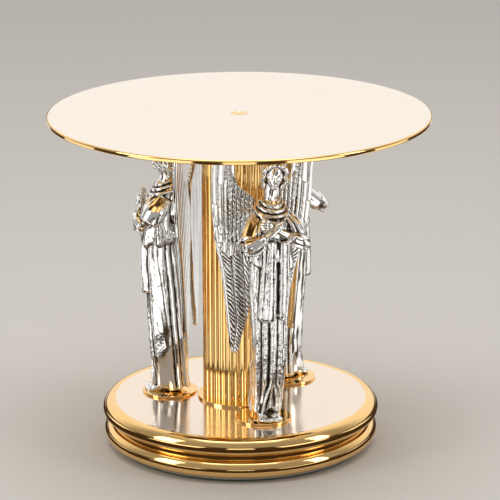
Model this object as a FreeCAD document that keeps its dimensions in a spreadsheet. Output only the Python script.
"""Angel stand with a round plate: plate, fluted column, two-bead base, three winged figures.

Millimetres, +Z up, origin on the floor at the centre of the base. The column's axis is Z.
Each figure is drawn upright at its own origin, then leaned, set on its disc and turned
about Z to its place. In that drawing frame +X is the figure's own left, -Y is its front
and Z counts from the top of its disc.
"""
import FreeCAD
import Part

import math
import os
import re

import Sketcher

Vector = FreeCAD.Vector
Rotation = FreeCAD.Rotation
Placement = FreeCAD.Placement

Z_AXIS = Vector(0, 0, 1)
Y_AXIS = Vector(0, 1, 0)
ORIGIN = Vector(0, 0, 0)

doc = FreeCAD.newDocument("angel_stand")

# ---------------------------------------------------------------- driving dimensions

DIMENSIONS = {
    # overall
    "overall_height": 178.5,
    "fit_gap": 0.05,
    # how far cutting shapes reach past what they cut
    "overcut": 1.0,
    "trim_height": 20.0,
    # plate
    "plate_radius": 100.0,
    "plate_thickness": 2.5,
    "plate_edge_radius": 0.9,
    "plate_screw_head_radius": 4.5,
    "plate_screw_head_height": 1.6,
    "plate_screw_shank_radius": 2.5,
    "plate_screw_length": 10.5,
    "screw_slot_width": 0.9,
    "screw_slot_depth": 0.7,
    # felt, cover, base shell
    "felt_radius": 66.5,
    "felt_thickness": 1.2,
    "cover_radius": 67.0,
    "cover_thickness": 1.2,
    "bead_radius": 5.0,
    "bead_rise": 0.2,
    "upper_bead_ring": 68.1,
    "lower_bead_ring": 67.5,
    "groove_height": 2.1,
    "groove_radius": 67.6,
    "shell_wall": 1.4,
    "flange_inner_radius": 60.0,
    # ballast
    "ballast_radius": 56.0,
    "ballast_thickness": 12.0,
    "nut_recess_radius": 11.0,
    "nut_recess_depth": 5.0,
    "screw_pocket_radius": 6.0,
    # column
    "column_radius": 19.8,
    "column_bore_radius": 18.3,
    "flute_count": 36,
    "flute_radius": 1.9,
    "flute_depth": 0.55,
    "foot_ring_radius": 22.85,
    "foot_ring_height": 1.4,
    "bottom_bush_length": 14.0,
    "top_bush_length": 16.0,
    # tie rod
    "rod_radius": 4.0,
    "rod_grip": 7.0,
    "rod_end_level": 6.6,
    "rod_end_gap": 0.5,
    "rod_nut_width": 13.0,
    "rod_nut_height": 6.5,
    "rod_washer_radius": 8.0,
    "rod_washer_thickness": 1.6,
    # small screws
    "small_screw_radius": 2.0,
    "figure_screw_length": 15.0,
    "figure_screw_head_radius": 3.8,
    "figure_screw_head_height": 2.6,
    "figure_washer_radius": 4.8,
    "figure_washer_thickness": 0.8,
    "cover_screw_circle": 46.0,
    "cover_screw_head_radius": 3.6,
    "cover_screw_length": 17.0,
    # figures
    "figure_circle": 38.6,
    "first_figure_angle": 17.96,
    "figure_lean": 2.8,
    "figure_offset": -1.5,
    "disc_radius": 14.7,
    "disc_thickness": 1.2,
    "disc_edge_radius": 0.35,
    "neck_radius": 3.7,
    "neck_low": 112.0,
    "neck_high": 125.0,
    "head_centre": 131.0,
    "head_half_height": 9.6,
    "head_half_width": 7.0,
    "head_half_depth": 8.2,
    "collar_level": 114.3,
    "collar_ring": 5.6,
    "collar_thickness": 1.5,
    "stole_right_width": 7.8,
    "stole_left_width": 5.4,
    "stole_gap": 1.8,
    "stole_gap_aside": 1.4,
    "stole_front": 13.6,
    "stole_back": 2.0,
    "stole_low": 54.0,
    "stole_high": 96.0,
    "foot_half_length": 5.6,
    "foot_half_width": 3.2,
    "foot_half_height": 2.2,
    "foot_spacing": 3.6,
    "foot_gap": 0.6,
    "foot_front": 8.6,
    "boss_half_width": 8.0,
    "boss_low": 92.0,
    "boss_high": 114.5,
    "boss_back": 10.4,
    "socle_radius": 6.0,
    "socle_height": 4.0,
    # wings
    "wing_offset": -1.0,
    "wing_thickness": 2.4,
}

ROBE_FIELDS = ("level", "half_width", "half_depth", "behind", "aside")
# robe sections: height above the disc, half width, half depth, centre behind the figure's axis
# and centre to its left
ROBE_SECTIONS = {
    "hem": (2.6, 7.6, 9.6, 1.0, 2.4),
    "shin": (18.0, 8.5, 9.6, 0.3, 2.7),
    "knee": (42.0, 9.6, 9.6, -1.2, 2.0),
    "hip": (72.0, 11.2, 8.8, -2.8, 0.6),
    "waist": (90.0, 11.2, 8.2, -3.2, 0.3),
    "chest": (104.0, 11.0, 7.6, -2.6, 0.0),
    "shoulder": (111.0, 9.5, 5.6, -1.2, 0.0),
    "throat": (115.0, 4.6, 4.4, -0.4, 0.0),
}

# arm points of the right arm and of the left arm: across, behind, height
ARM_POINTS = {
    "right_shoulder": (-10.0, 0.0, 107.0),
    "right_elbow": (-15.6, -12.4, 94.0),
    "right_hand": (1.6, -14.4, 106.6),
    "left_shoulder": (10.0, 0.0, 107.0),
    "left_elbow": (16.0, -9.0, 96.0),
    "left_hand": (-7.0, -12.8, 105.4),
}
ARM_RADII = {"shoulder": 4.6, "elbow": 3.6, "hand": 2.4}

# wing outline from the root round the top to the tip and back: across, height, and the
# radius of the arc to the next point (0 is a straight edge; negative bends the other way)
WING_OUTLINE = {
    "root_low": (3.0, 92.0, 0),
    "root_high": (3.0, 116.0, -15.6),
    "arch_end": (15.6, 133.0, 0),
    "top_inner": (20.0, 145.0, 7.0),
    "top_outer": (27.4, 137.0, 90.0),
    "shoulder": (25.3, 99.5, 0),
    "waist": (20.5, 77.5, 0),
    "tip_outer": (13.0, 34.5, 3.0),
    "tip_inner": (8.6, 36.2, 0),
    "trailing": (4.6, 52.0, 0),
}


def fill_sheet():
    """Write every driving dimension to the sheet, each cell under its alias."""
    sheet = doc.addObject("Spreadsheet::Sheet", "Sizes")
    cells = dict(DIMENSIONS)
    for name, values in ROBE_SECTIONS.items():
        for field, value in zip(ROBE_FIELDS, values):
            cells[f"robe_{name}_{field}"] = value
    for name, values in ARM_POINTS.items():
        for field, value in zip(("across", "behind", "level"), values):
            cells[f"arm_{name}_{field}"] = value
    for name, value in ARM_RADII.items():
        cells[f"arm_{name}_radius"] = value
    for name, (across, level, radius) in WING_OUTLINE.items():
        cells[f"wing_{name}_across"] = across
        cells[f"wing_{name}_level"] = level
        if radius:
            cells[f"wing_{name}_radius"] = abs(radius)
    for row, (alias, value) in enumerate(cells.items(), start=1):
        sheet.set(f"A{row}", alias)
        sheet.set(f"B{row}", str(value))
        sheet.setAlias(f"B{row}", alias)
    doc.recompute()
    return sheet


sizes = fill_sheet()


def size(alias):
    """Read one driving dimension back from the sheet."""
    return float(getattr(sizes, alias))


def bound(expression):
    """Put the sheet's name before each alias in an expression."""
    return re.sub(r"(?!sqrt)\b[a-z]\w+", r"Sizes.\g<0>", expression)


def level(expression):
    """Work an expression of the sheet's cells out as a number."""
    return float(sizes.evalExpression(bound(expression)))


# levels that several pieces share, as expressions of the sheet's cells
COVER_TOP = "felt_thickness + cover_thickness"
LOWER_BEAD = f"{COVER_TOP} + bead_radius"
UPPER_BEAD = f"{LOWER_BEAD} + 2 * bead_radius + groove_height"
SHELL_TOP = f"{UPPER_BEAD} + bead_radius - bead_rise"
SHELL_CEILING = f"{SHELL_TOP} - shell_wall"
BALLAST_LOW = f"{SHELL_CEILING} - ballast_thickness"
RECESS_CEILING = f"{BALLAST_LOW} + nut_recess_depth"
DISC_TOP = f"{SHELL_TOP} + disc_thickness"
COLUMN_LOW = f"{SHELL_TOP} + foot_ring_height"
COLUMN_TOP = "overall_height - plate_thickness"
FIRST_ANGLE = size("first_figure_angle")
FIGURE_COUNT = 3
FIGURE_STEP = 360 / FIGURE_COUNT
BETWEEN_FIGURES = FIRST_ANGLE + FIGURE_STEP / 2


# ---------------------------------------------------------------- building helpers

finished = []


def keep(obj, label):
    """Give a finished sub-part its name and list it for export."""
    obj.Label = label
    finished.append(obj)
    return obj


def primitive(kind, name, place=None, **bindings):
    """Add a Part primitive whose properties and position are bound to the sheet."""
    obj = doc.addObject(f"Part::{kind}", name)
    for prop, expression in bindings.items():
        obj.setExpression(prop, bound(expression))
    for axis, expression in (place or {}).items():
        obj.setExpression(f"Placement.Base.{axis}", bound(expression))
    return obj


def fuse(name, *shapes):
    """Join shapes into one."""
    obj = doc.addObject("Part::MultiFuse", name)
    obj.Shapes = list(shapes)
    return obj


def cut(name, base, *tools):
    """Take one or more tools away from a base shape."""
    obj = doc.addObject("Part::Cut", name)
    obj.Base = base
    obj.Tool = tools[0] if len(tools) == 1 else fuse(f"{name}_tools", *tools)
    return obj


def rotated_copies(name, source, count, first_angle):
    """Repeat a shape evenly about Z, as a compound of separate solids."""
    copies = []
    for index in range(count):
        copy = doc.addObject("Part::Compound", f"{name}_{index + 1}")
        copy.Links = [source]
        angle = first_angle - index * 360.0 / count
        copy.Placement = Placement(ORIGIN, Rotation(Z_AXIS, angle))
        copies.append(copy)
    group = doc.addObject("Part::Compound", name)
    group.Links = copies
    return group


def body_sketch(body, name, role, offset=None):
    """Add a sketch to a body, flat on one of the body's own origin planes."""
    sketch = body.newObject("Sketcher::SketchObject", name)
    plane = next(item for item in body.Origin.OriginFeatures if item.Role == role)
    sketch.AttachmentSupport = [(plane, "")]
    sketch.MapMode = "FlatFace"
    if offset:
        sketch.setExpression("AttachmentOffset.Base.z", bound(offset))
    return sketch


def pin(sketch, index, end, across, up):
    """Tie a sketch point to two distances; a zero distance is held by an axis."""
    for kind, expression, axis in (("DistanceX", across, -2), ("DistanceY", up, -1)):
        if expression == "0":
            sketch.addConstraint(Sketcher.Constraint("PointOnObject", index, end, axis))
            continue
        distance = Sketcher.Constraint(kind, -1, 1, index, end, level(expression))
        number = sketch.addConstraint(distance)
        sketch.setExpression(f"Constraints[{number}]", bound(expression))


def set_radius(sketch, index, radius):
    """Bind the radius of a circle or an arc."""
    constraint = Sketcher.Constraint("Radius", index, level(radius))
    number = sketch.addConstraint(constraint)
    sketch.setExpression(f"Constraints[{number}]", bound(radius))


def circle(sketch, radius, across="0", up="0"):
    """Draw one circle."""
    centre = Vector(level(across), level(up), 0)
    index = sketch.addGeometry(Part.Circle(centre, Z_AXIS, level(radius)))
    set_radius(sketch, index, radius)
    pin(sketch, index, 3, across, up)


def arc_edge(start, end, radius, bulges_out):
    """Make the short arc from start to end of a clockwise outline.

    Sketch arcs always run anticlockwise, so an arc that bulges out is stored from end
    to start. Returns the arc and which of its ends lie at start and at end.
    """
    chord = end - start
    half = chord.Length / 2
    to_right = Vector(chord.y, -chord.x, 0).normalize()
    reach = math.sqrt(radius**2 - half**2) * (1 if bulges_out else -1)
    centre = (start + end) / 2 + to_right * reach
    first, last = (end, start) if bulges_out else (start, end)
    angles = [math.atan2(point.y - centre.y, point.x - centre.x) for point in (first, last)]
    if angles[1] < angles[0]:
        angles[1] += 2 * math.pi
    arc = Part.ArcOfCircle(Part.Circle(centre, Z_AXIS, radius), *angles)
    return arc, (2, 1) if bulges_out else (1, 2)


def outline(sketch, corners):
    """Draw a closed clockwise outline.

    Each corner is (across, up) or (across, up, radius, bulges_out), where the radius
    is that of the arc that leads to the next corner.
    """
    points = [Vector(level(corner[0]), level(corner[1]), 0) for corner in corners]
    ends = []
    for index, corner in enumerate(corners):
        following = points[(index + 1) % len(points)]
        if len(corner) == 2:
            sketch.addGeometry(Part.LineSegment(points[index], following))
            ends.append((1, 2))
            continue
        arc, arc_ends = arc_edge(points[index], following, level(corner[2]), corner[3])
        sketch.addGeometry(arc)
        ends.append(arc_ends)
    for index, corner in enumerate(corners):
        previous = index - 1 if index else len(corners) - 1
        joint = Sketcher.Constraint(
            "Coincident", previous, ends[previous][1], index, ends[index][0]
        )
        sketch.addConstraint(joint)
        pin(sketch, index, ends[index][0], corner[0], corner[1])
        if len(corner) > 2:
            set_radius(sketch, index, corner[2])


def feature(body, kind, name, sketch, **bindings):
    """Add a sketch-based feature to a body, with its sizes bound."""
    obj = body.newObject(f"PartDesign::{kind}", name)
    obj.Profile = sketch
    for prop, expression in bindings.items():
        obj.setExpression(prop, bound(expression))
    return obj


def pad(body, name, radii, low, length):
    """Pad one circle, or the ring between two, upwards from a level."""
    sketch = body_sketch(body, f"{name}_sketch", "XY_Plane", low)
    for radius in radii:
        circle(sketch, radius)
    padded = feature(body, "Pad", name, sketch, Length=length)
    doc.recompute()
    return padded


def turn(body, name, corners, kind="Revolution"):
    """Turn an outline of (radius, level) corners about Z, to add or to remove."""
    sketch = body_sketch(body, f"{name}_sketch", "XZ_Plane")
    outline(sketch, corners)
    turned = feature(body, kind, name, sketch)
    turned.ReferenceAxis = (sketch, ["V_Axis"])
    turned.Angle = 360
    doc.recompute()
    return turned


def cut_through(body, name, sketch):
    """Cut a sketch through the whole body both ways, and insist that it cut something."""
    before = body.Shape.Volume
    removed = feature(body, "Pocket", name, sketch)
    removed.Type = "ThroughAll"
    removed.Midplane = True
    doc.recompute()
    if body.Shape.Volume > before - 1e-6:
        raise RuntimeError(f"{name} cut nothing")
    return removed


def around(body, name, original, count):
    """Repeat a feature evenly about Z."""
    pattern = body.newObject("PartDesign::PolarPattern", name)
    pattern.Originals = [original]
    z_line = next(item for item in body.Origin.OriginFeatures if item.Role == "Z_Axis")
    pattern.Axis = (z_line, [""])
    pattern.Angle = 360
    pattern.Occurrences = count
    body.Tip = pattern
    doc.recompute()
    return pattern


def new_body(label):
    """Start a PartDesign body that is a sub-part of its own."""
    return keep(doc.addObject("PartDesign::Body", label), label)


# ---------------------------------------------------------------- plate and its screw


def make_plate():
    """Round plate with softened edges and a countersunk hole at its centre."""
    body = new_body("top_plate")
    slab = pad(body, "plate_slab", ["plate_radius"], COLUMN_TOP, "plate_thickness")
    rims = body.newObject("PartDesign::Fillet", "plate_rims")
    rims.Base = (slab, ["Edge1", "Edge3"])
    rims.setExpression("Radius", bound("plate_edge_radius"))
    doc.recompute()
    hole = "plate_screw_shank_radius + fit_gap"
    top = "overall_height"
    seat = "overall_height - plate_screw_head_height"
    turn(body, "plate_hole", [
        ("0", f"{COLUMN_TOP} - overcut"),
        ("0", f"{top} + overcut"),
        ("plate_screw_head_radius + fit_gap", f"{top} + overcut"),
        ("plate_screw_head_radius + fit_gap", top),
        (hole, seat),
        (hole, f"{COLUMN_TOP} - overcut"),
    ], kind="Groove")


def make_plate_screw():
    """Countersunk slotted screw, flush with the plate."""
    body = new_body("plate_screw")
    top = "overall_height"
    seat = "overall_height - plate_screw_head_height"
    turn(body, "plate_screw_solid", [
        ("0", f"{top} - plate_screw_length"),
        ("0", top),
        ("plate_screw_head_radius", top),
        ("plate_screw_shank_radius", seat),
        ("plate_screw_shank_radius", f"{top} - plate_screw_length"),
    ])
    sketch = body_sketch(body, "plate_screw_slot_sketch", "XZ_Plane")
    half = "screw_slot_width / 2"
    floor = f"{top} - screw_slot_depth"
    outline(sketch, [
        (f"-({half})", floor),
        (f"-({half})", f"{top} + overcut"),
        (half, f"{top} + overcut"),
        (half, floor),
    ])
    cut_through(body, "plate_screw_slot", sketch)


# ---------------------------------------------------------------- column and its core


def make_column():
    """Straight tube with shallow flutes all round."""
    body = new_body("column")
    height = f"{COLUMN_TOP} - ({COLUMN_LOW})"
    pad(body, "tube", ["column_radius", "column_bore_radius"], COLUMN_LOW, height)
    sketch = body_sketch(body, "flute_sketch", "XY_Plane", COLUMN_LOW)
    circle(sketch, "flute_radius", "column_radius + flute_radius - flute_depth")
    flute = cut_through(body, "flute", sketch)
    around(body, "flutes", flute, int(size("flute_count")))


def make_foot_ring():
    """Thin ring that the column stands on."""
    body = new_body("column_foot_ring")
    radii = ["foot_ring_radius", "column_bore_radius"]
    pad(body, "foot_ring", radii, SHELL_TOP, "foot_ring_height")


def make_bushes():
    """Plugs in the column's two ends, bored for the rod and the plate screw."""
    plug = "column_bore_radius - fit_gap"
    rod = "rod_radius + fit_gap"
    bottom = new_body("column_bottom_bush")
    pad(bottom, "bottom_bush", [plug, rod], SHELL_TOP, "bottom_bush_length")
    top = new_body("column_top_bush")
    low = f"{COLUMN_TOP} - top_bush_length"
    screw = "plate_screw_shank_radius + fit_gap"
    screw_floor = "overall_height - plate_screw_length - rod_end_gap"
    turn(top, "top_bush", [
        (rod, low),
        (rod, f"{low} + rod_grip"),
        (screw, f"{low} + rod_grip"),
        (screw, COLUMN_TOP),
        (plug, COLUMN_TOP),
        (plug, low),
    ])
    assert level(screw_floor) > level(f"{low} + rod_grip"), "rod and plate screw would meet"


def make_tie_rod():
    """Rod from the base to the top bush, with its washer and nut in the ballast."""
    rod_top = f"{COLUMN_TOP} - top_bush_length + rod_grip - rod_end_gap"
    rod = primitive(
        "Cylinder", "tie_rod", {"z": "rod_end_level"},
        Radius="rod_radius", Height=f"{rod_top} - rod_end_level",
    )
    keep(rod, "tie_rod")
    washer = new_body("tie_rod_washer")
    washer_low = f"{RECESS_CEILING} - rod_washer_thickness"
    radii = ["rod_washer_radius", "rod_radius + fit_gap"]
    pad(washer, "rod_washer", radii, washer_low, "rod_washer_thickness")
    nut_low = f"{washer_low} - rod_nut_height"
    hexagon = primitive(
        "Prism", "rod_nut_hexagon", {"z": nut_low},
        Circumradius="rod_nut_width / sqrt(3)",
        Height="rod_nut_height",
    )
    hexagon.Polygon = 6
    bore = primitive(
        "Cylinder", "rod_nut_bore", {"z": nut_low},
        Radius="rod_radius + fit_gap", Height="rod_nut_height",
    )
    keep(cut("tie_rod_nut", hexagon, bore), "tie_rod_nut")


# ---------------------------------------------------------------- base


def solid_of_beads(name, shrink):
    """Disc with two round beads, smaller all round by the amount given."""
    bead = f"bead_radius - {shrink}"
    drum = primitive(
        "Cylinder", f"{name}_drum", {"z": f"{COVER_TOP} + {shrink}"},
        Radius=f"groove_radius - {shrink}",
        Height=f"{SHELL_TOP} - ({COVER_TOP}) - 2 * ({shrink})",
    )
    upper = primitive(
        "Torus", f"{name}_upper", {"z": UPPER_BEAD}, Radius1="upper_bead_ring", Radius2=bead
    )
    lower = primitive(
        "Torus", f"{name}_lower", {"z": LOWER_BEAD}, Radius1="lower_bead_ring", Radius2=bead
    )
    return fuse(name, drum, upper, lower)


def make_base_shell():
    """Spun shell: flat top, two beads with a groove between, and an inward flange."""
    outer = solid_of_beads("shell_outer", "0")
    inner = solid_of_beads("shell_inner", "shell_wall")
    mouth = primitive(
        "Cylinder", "shell_mouth", {"z": COVER_TOP},
        Radius="flange_inner_radius", Height="2 * shell_wall",
    )
    rod_hole = primitive(
        "Cylinder", "shell_rod_hole", {"z": f"{SHELL_CEILING} - overcut"},
        Radius="rod_radius + fit_gap", Height="shell_wall + 2 * overcut",
    )
    screw_hole = primitive(
        "Cylinder", "shell_screw_hole", {"y": "-figure_circle", "z": f"{SHELL_CEILING} - overcut"},
        Radius="small_screw_radius + fit_gap", Height="shell_wall + 2 * overcut",
    )
    screw_holes = rotated_copies("shell_screw_holes", screw_hole, FIGURE_COUNT, FIRST_ANGLE)
    tools = [inner, mouth, rod_hole, screw_holes]
    keep(cut("base_shell", outer, *tools), "base_shell")


def make_ballast():
    """Iron disc with a recess for the nut and pockets round the figure screws."""
    block = primitive(
        "Cylinder", "ballast_block", {"z": BALLAST_LOW},
        Radius="ballast_radius", Height="ballast_thickness",
    )
    recess = primitive(
        "Cylinder", "ballast_recess", {"z": f"{BALLAST_LOW} - overcut"},
        Radius="nut_recess_radius", Height="nut_recess_depth + overcut",
    )
    rod_hole = primitive(
        "Cylinder", "ballast_rod_hole", {"z": BALLAST_LOW},
        Radius="rod_radius + fit_gap", Height="ballast_thickness + overcut",
    )
    pocket = primitive(
        "Cylinder", "ballast_pocket", {"y": "-figure_circle", "z": f"{BALLAST_LOW} - overcut"},
        Radius="screw_pocket_radius", Height="ballast_thickness + 2 * overcut",
    )
    pockets = rotated_copies("ballast_pockets", pocket, FIGURE_COUNT, FIRST_ANGLE)
    thread = primitive(
        "Cylinder", "ballast_thread", {"y": "-cover_screw_circle", "z": f"{BALLAST_LOW} - overcut"},
        Radius="small_screw_radius + fit_gap", Height="ballast_thickness",
    )
    threads = rotated_copies("ballast_threads", thread, FIGURE_COUNT, BETWEEN_FIGURES)
    keep(cut("base_ballast", block, recess, rod_hole, pockets, threads), "base_ballast")


def make_cover():
    """Steel bottom plate with its countersunk screws, and the felt under them."""
    disc = primitive(
        "Cylinder", "cover_disc", {"z": "felt_thickness"},
        Radius="cover_radius", Height="cover_thickness",
    )
    seat = primitive(
        "Cone", "cover_seat", {"y": "-cover_screw_circle", "z": "felt_thickness"},
        Radius1="cover_screw_head_radius + fit_gap", Radius2="small_screw_radius + fit_gap",
        Height="cover_thickness",
    )
    seats = rotated_copies("cover_seats", seat, FIGURE_COUNT, BETWEEN_FIGURES)
    keep(cut("base_cover", disc, seats), "base_cover")
    head = primitive(
        "Cone", "cover_screw_head", {"y": "-cover_screw_circle", "z": "felt_thickness"},
        Radius1="cover_screw_head_radius", Radius2="small_screw_radius",
        Height="cover_thickness",
    )
    shank = primitive(
        "Cylinder", "cover_screw_shank", {"y": "-cover_screw_circle", "z": "felt_thickness"},
        Radius="small_screw_radius", Height="cover_screw_length",
    )
    screw = fuse("cover_screw", head, shank)
    keep(rotated_copies("cover_screws", screw, FIGURE_COUNT, BETWEEN_FIGURES), "cover_screws")
    felt = primitive("Cylinder", "felt_pad", Radius="felt_radius", Height="felt_thickness")
    keep(felt, "felt_pad")


def make_figure_fixings():
    """The screw and the washer under each figure."""
    washer_low = f"{SHELL_CEILING} - figure_washer_thickness"
    place = {"y": "-figure_circle", "z": washer_low}
    ring = primitive(
        "Cylinder", "washer_ring", place,
        Radius="figure_washer_radius", Height="figure_washer_thickness",
    )
    hole = primitive(
        "Cylinder", "washer_hole", place,
        Radius="small_screw_radius + fit_gap", Height="figure_washer_thickness",
    )
    washer = cut("figure_washer", ring, hole)
    keep(rotated_copies("figure_washers", washer, FIGURE_COUNT, FIRST_ANGLE), "figure_washers")
    shank = primitive(
        "Cylinder", "figure_screw_shank", place,
        Radius="small_screw_radius", Height="figure_screw_length",
    )
    head_low = f"{washer_low} - figure_screw_head_height"
    head = primitive(
        "Cylinder", "figure_screw_head", {"y": "-figure_circle", "z": head_low},
        Radius="figure_screw_head_radius", Height="figure_screw_head_height",
    )
    screw = fuse("figure_screw", shank, head)
    keep(rotated_copies("figure_screws", screw, FIGURE_COUNT, FIRST_ANGLE), "figure_screws")


# ---------------------------------------------------------------- figures

def standing_place(angle):
    """Place of a leaned figure: set on its disc and turned about Z."""
    lean = Placement(ORIGIN, Rotation(Y_AXIS, size("figure_lean")))
    stand = Vector(size("figure_offset"), -size("figure_circle"), level(DISC_TOP))
    turned = Placement(ORIGIN, Rotation(Z_AXIS, angle))
    return turned * Placement(stand, Rotation()) * lean


def robe(name):
    """Loft through the robe's oval sections."""
    sections = []
    for part in ROBE_SECTIONS:
        wide, deep = f"robe_{part}_half_width", f"robe_{part}_half_depth"
        oval = primitive("Ellipse", f"{name}_{part}", {
            "x": f"robe_{part}_aside",
            "y": f"robe_{part}_behind",
            "z": f"robe_{part}_level",
        })
        is_wide = size(wide) >= size(deep)
        oval.setExpression("MajorRadius", bound(wide if is_wide else deep))
        oval.setExpression("MinorRadius", bound(deep if is_wide else wide))
        if not is_wide:
            oval.Placement.Rotation = Rotation(Z_AXIS, 90)
        sections.append(oval)
    loft = doc.addObject("Part::Loft", f"{name}_robe")
    loft.Sections = sections
    loft.Solid = True
    loft.Ruled = False
    return loft


def arm_point(name):
    """Read one arm point from the sheet."""
    return Vector(*(size(f"arm_{name}_{field}") for field in ("across", "behind", "level")))


def limb(name, start, end, start_radius, end_radius):
    """Round tapered limb between two points, with a ball at its far end."""
    along = end - start
    cone = primitive("Cone", name, Radius1=start_radius, Radius2=end_radius)
    cone.Height = along.Length
    cone.Placement = Placement(start, Rotation(Z_AXIS, along))
    ball = primitive("Sphere", f"{name}_ball", Radius=end_radius)
    ball.Placement.Base = end
    return [cone, ball]


def arms(name):
    """Both arms, crossed on the chest."""
    pieces = []
    for side in ("right", "left"):
        shoulder, elbow, hand = (
            arm_point(f"{side}_{joint}") for joint in ("shoulder", "elbow", "hand")
        )
        pieces += limb(
            f"{name}_{side}_upper_arm", shoulder, elbow, "arm_shoulder_radius", "arm_elbow_radius"
        )
        pieces += limb(
            f"{name}_{side}_forearm", elbow, hand, "arm_elbow_radius", "arm_hand_radius"
        )
    return pieces


def stole(name):
    """Two long panels that hang down the front of the robe."""
    panels = []
    edges = {
        "right": "stole_gap_aside - stole_gap / 2 - stole_right_width",
        "left": "stole_gap_aside + stole_gap / 2",
    }
    for side, edge in edges.items():
        panels.append(primitive(
            "Box", f"{name}_{side}_panel",
            {"x": edge, "y": "-stole_front", "z": "stole_low"},
            Length=f"stole_{side}_width", Width="stole_front - stole_back",
            Height="stole_high - stole_low",
        ))
    return panels


def feet(name):
    """Two shoe tips that look out under the hem."""
    shoes = []
    for side, across in (("right", "(-foot_spacing)"), ("left", "foot_spacing")):
        shoes.append(primitive(
            "Ellipsoid", f"{name}_{side}_foot",
            {
                "x": f"robe_hem_aside + {across}",
                "y": "-foot_front",
                "z": "foot_half_height + foot_gap",
            },
            Radius1="foot_half_height", Radius2="foot_half_width", Radius3="foot_half_length",
        ))
    return shoes


def make_figure(number, angle):
    """One cast figure, with a flat boss on its back for the wings and a threaded socle."""
    name = f"angel_{number}"
    neck = primitive(
        "Cylinder", f"{name}_neck", {"z": "neck_low"},
        Radius="neck_radius", Height="neck_high - neck_low",
    )
    head = primitive(
        "Ellipsoid", f"{name}_head", {"z": "head_centre"}, Radius1="head_half_height",
        Radius2="head_half_width", Radius3="head_half_depth",
    )
    collar = primitive(
        "Torus", f"{name}_collar", {"z": "collar_level"},
        Radius1="collar_ring", Radius2="collar_thickness",
    )
    boss = primitive(
        "Box", f"{name}_boss", {"x": "-boss_half_width", "z": "boss_low"},
        Length="2 * boss_half_width", Width="boss_back", Height="boss_high - boss_low",
    )
    pieces = [robe(name), neck, head, collar, boss, *arms(name), *stole(name), *feet(name)]
    upright = fuse(f"{name}_upright", *pieces)
    upright.Placement = standing_place(angle)
    socle = primitive(
        "Cylinder", f"{name}_socle", {"y": "-figure_circle", "z": DISC_TOP},
        Radius="socle_radius", Height="socle_height",
    )
    below = primitive(
        "Cylinder", f"{name}_below", {"y": "-figure_circle", "z": f"{DISC_TOP} - trim_height"},
        Radius="2 * disc_radius", Height="trim_height",
    )
    thread = primitive(
        "Cylinder", f"{name}_thread", {"y": "-figure_circle", "z": SHELL_CEILING},
        Radius="small_screw_radius + fit_gap", Height="figure_screw_length",
    )
    for shape in (socle, below, thread):
        turned = doc.addObject("Part::Compound", f"{shape.Name}_turned")
        turned.Links = [shape]
        turned.Placement = Placement(ORIGIN, Rotation(Z_AXIS, angle))
    turned = [doc.getObject(f"{shape.Name}_turned") for shape in (socle, below, thread)]
    whole = fuse(f"{name}_whole", upright, turned[0])
    keep(cut(f"{name}_figure", whole, turned[1], turned[2]), f"{name}_figure")


def make_disc(number, angle):
    """Polished disc under a figure, with softened edges and a screw hole."""
    label = f"angel_{number}_disc"
    body = new_body(label)
    sketch = body_sketch(body, f"{label}_sketch", "XY_Plane", SHELL_TOP)
    circle(sketch, "disc_radius")
    circle(sketch, "small_screw_radius + fit_gap")
    slab = feature(body, "Pad", f"{label}_slab", sketch, Length="disc_thickness")
    doc.recompute()
    rims = body.newObject("PartDesign::Fillet", f"{label}_rims")
    rims.Base = (slab, widest_edges(slab.Shape))
    rims.setExpression("Radius", bound("disc_edge_radius"))
    stand = Vector(0, -size("figure_circle"), 0)
    body.Placement = Placement(ORIGIN, Rotation(Z_AXIS, angle)) * Placement(stand, Rotation())


def widest_edges(shape):
    """Names of the round edges with the largest radius."""
    radii = {
        f"Edge{index}": edge.Curve.Radius
        for index, edge in enumerate(shape.Edges, start=1)
        if hasattr(edge.Curve, "Radius")
    }
    largest = max(radii.values())
    return [name for name, radius in radii.items() if radius > largest - 1e-6]


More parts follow.
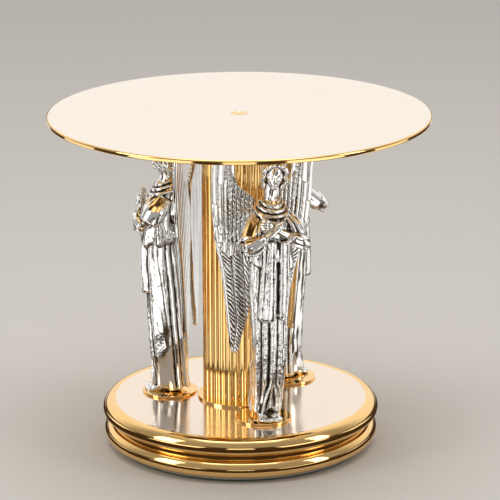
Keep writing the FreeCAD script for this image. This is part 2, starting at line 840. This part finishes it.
def make_wings(number, angle):
    """A flat cast wing for each side of the back, from one outline."""
    name = f"angel_{number}"
    body = doc.addObject("PartDesign::Body", f"{name}_left_blade")
    sketch = body_sketch(body, f"{name}_wing_sketch", "XZ_Plane", "-boss_back")
    corners = []
    for corner, (_, _, radius) in WING_OUTLINE.items():
        place = (f"wing_{corner}_across", f"wing_{corner}_level")
        bend = (f"wing_{corner}_radius", radius > 0) if radius else ()
        corners.append(place + bend)
    outline(sketch, corners)
    blade = feature(body, "Pad", f"{name}_wing_blade", sketch, Length="wing_thickness")
    blade.Reversed = True
    doc.recompute()
    other = doc.addObject("Part::Mirroring", f"{name}_right_blade")
    other.Source = body
    other.Normal = Vector(1, 0, 0)
    doc.recompute()
    shift = Placement(Vector(size("wing_offset"), 0, 0), Rotation())
    for wing, label in ((body, f"{name}_wing_left"), (other, f"{name}_wing_right")):
        group = doc.addObject("Part::Compound", f"{wing.Name}_stood")
        group.Links = [wing]
        group.Placement = standing_place(angle) * shift
        keep(group, label)


# ---------------------------------------------------------------- assembly and export


def make_everything():
    """Build every sub-part."""
    make_plate()
    make_plate_screw()
    make_column()
    make_foot_ring()
    make_bushes()
    make_tie_rod()
    make_base_shell()
    make_ballast()
    make_cover()
    make_figure_fixings()
    for number in range(1, FIGURE_COUNT + 1):
        angle = FIRST_ANGLE - FIGURE_STEP * (number - 1)
        make_figure(number, angle)
        make_disc(number, angle)
        make_wings(number, angle)
    doc.recompute()


def check_everything():
    """Stop if any object failed or any sub-part has no sound shape."""
    for obj in doc.Objects:
        if {"Invalid", "Error"} & set(obj.State):
            raise RuntimeError(f"{obj.Name} failed: {obj.State}")
    for obj in finished:
        if obj.Shape.isNull() or not obj.Shape.isValid():
            raise RuntimeError(f"{obj.Label} has no sound shape")


def export_everything():
    """Write each sub-part to its own file."""
    os.makedirs("parts", exist_ok=True)
    for obj in finished:
        obj.Shape.exportStep(f"parts/{obj.Label}.step")
        solids = len(obj.Shape.Solids)
        print(f"{obj.Label}: {solids} solid(s), {obj.Shape.Volume:.0f} mm3")


make_everything()
check_everything()
export_everything()
